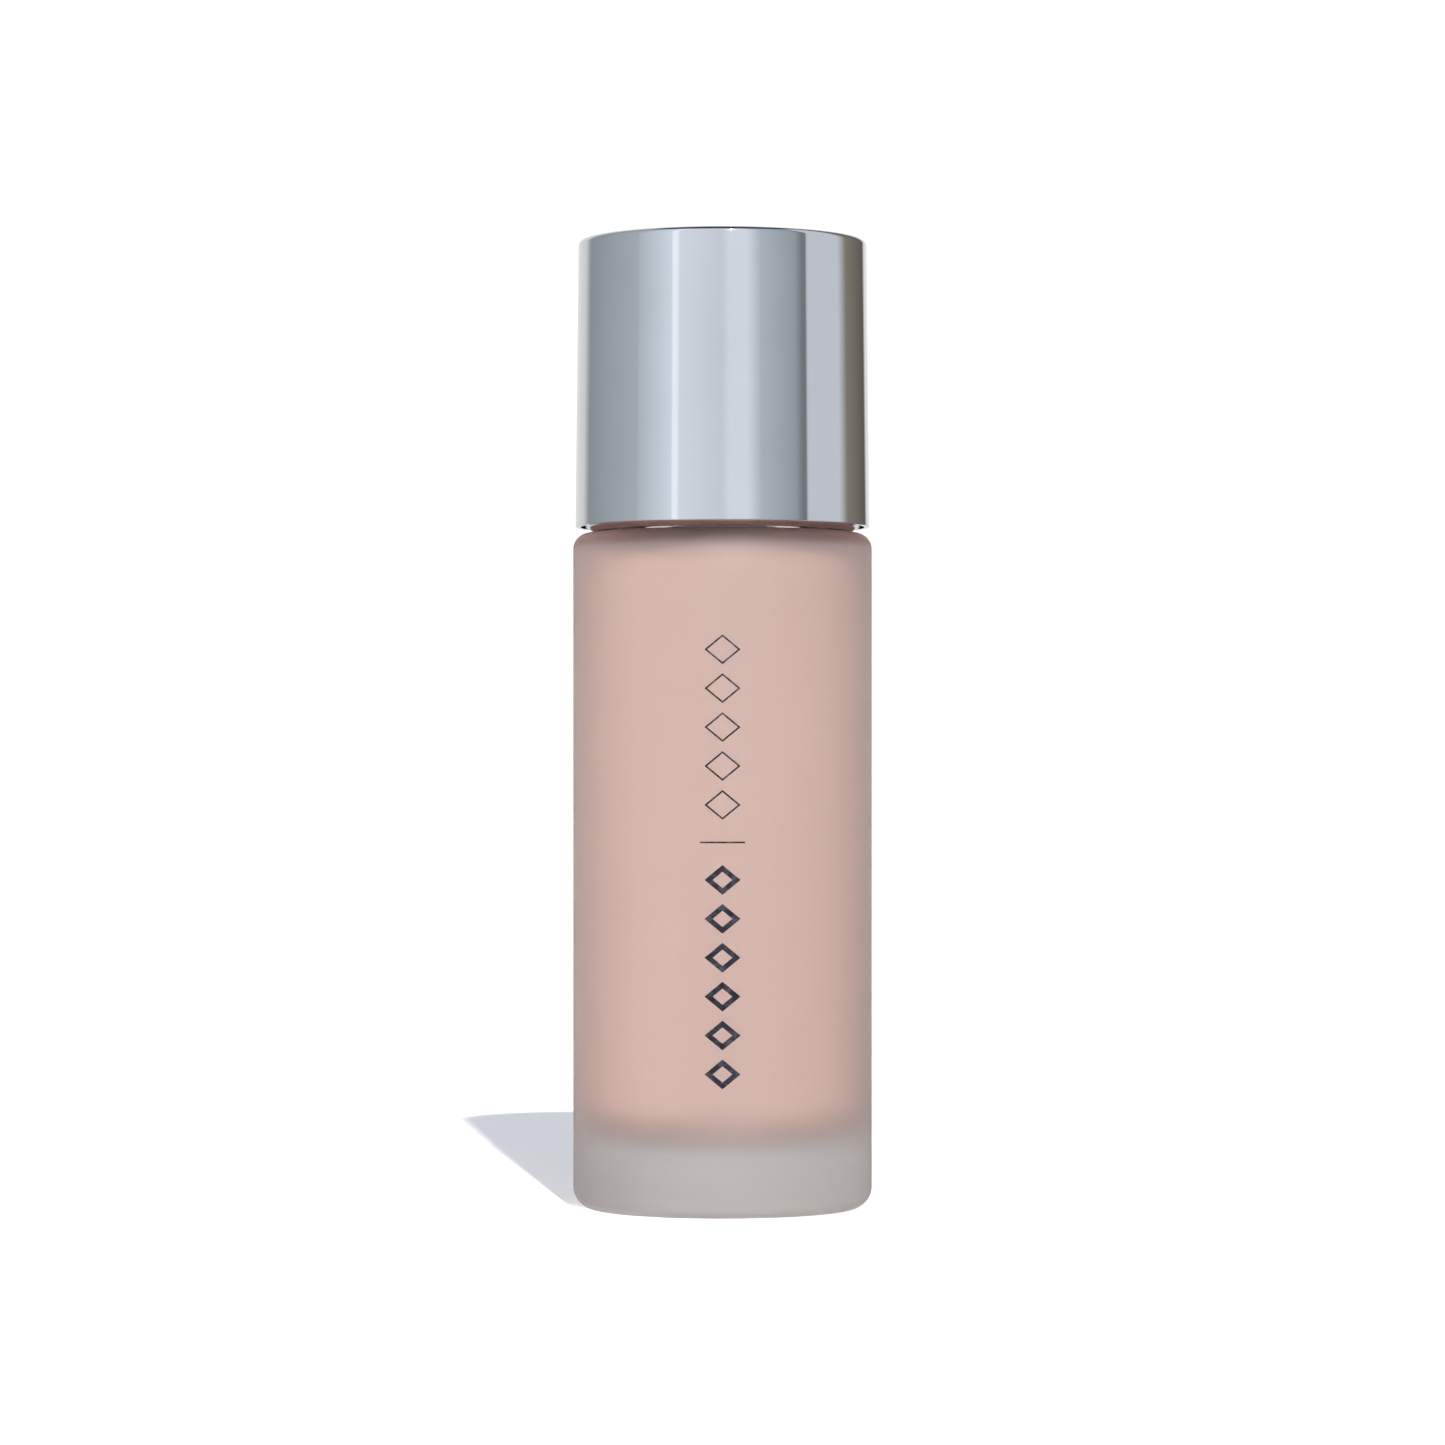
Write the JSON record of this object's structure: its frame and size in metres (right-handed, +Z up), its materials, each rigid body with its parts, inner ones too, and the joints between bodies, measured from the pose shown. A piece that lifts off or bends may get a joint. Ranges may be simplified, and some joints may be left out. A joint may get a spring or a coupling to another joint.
{
  "type": "foundation bottle",
  "caption": "Frosted cylindrical glass bottle of liquid foundation with a heavy base, a treatment pump and a bright push-on cap.",
  "frame": {"origin": "centre of the foot, on the table", "axes": "+Z up along the bottle's axis, -Y towards the front with the foil motif and, at rest, the pump's nozzle"},
  "size_m": [0.034, 0.0341, 0.1101],
  "materials": {
    "frosted_glass": "acid-frosted outside",
    "foundation": "wet",
    "dark_foil": "hot-stamped foil",
    "label": "matt",
    "foam": "foamed polyethylene",
    "natural_plastic": "milky, natural polyethylene",
    "white_plastic": "satin, moulded",
    "spring_steel": "drawn wire",
    "bright_metal": "bright anodised"
  },
  "bodies": {
    "bottle": {"glass_bottle": "frosted_glass", "foundation_fill": "foundation", "foil_motif": "dark_foil", "shade_label": "label"},
    "pump": {"neck_gasket": "foam", "pump_housing": "natural_plastic", "stem_guide": "white_plastic", "dip_tube": "natural_plastic", "return_spring": "spring_steel"},
    "ball": {"inlet_ball": "spring_steel"},
    "piston": {"pump_piston": "natural_plastic"},
    "actuator": {"pump_stem": "white_plastic", "valve_pin": "white_plastic", "actuator_core": "white_plastic", "actuator_shell": "bright_metal", "nozzle_insert": "white_plastic"},
    "closure": {"screw_closure": "white_plastic", "collar_shell": "bright_metal"},
    "cap": {"cap_liner": "white_plastic", "cap_shell": "bright_metal"}
  },
  "joints": [
    {"name": "pump_rise", "type": "slide", "parent": "bottle", "child": "pump", "axis": [0, 0, 1], "range_m": [0, 0.00397]},
    {"name": "closure_turn", "type": "hinge", "parent": "pump", "child": "closure", "pos_m": [0, 0, 0.08], "axis": [0, 0, 1], "range_deg": [0, 450]},
    {"name": "cap_pull", "type": "slide", "parent": "closure", "child": "cap", "axis": [0, 0, 1], "range_m": [0, 0.04]},
    {"name": "actuator_press", "type": "slide", "parent": "pump", "child": "piston", "axis": [0, 0, -1], "range_m": [0, 0.0036], "stiffness_N_per_m": 1000, "springref_m": -0.005, "deforming": ["return_spring"]},
    {"name": "actuator_turn", "type": "hinge", "parent": "piston", "child": "actuator", "pos_m": [0, 0, 0.098], "axis": [0, 0, 1], "continuous": true},
    {"name": "inlet_ball_lift", "type": "slide", "parent": "pump", "child": "ball", "axis": [0, 0, 1], "range_m": [0, 0.0008]}
  ],
  "couplings": [
    {"joint": "pump_rise", "follows": "closure_turn", "m_per_rad": 0.00050532}
  ]
}
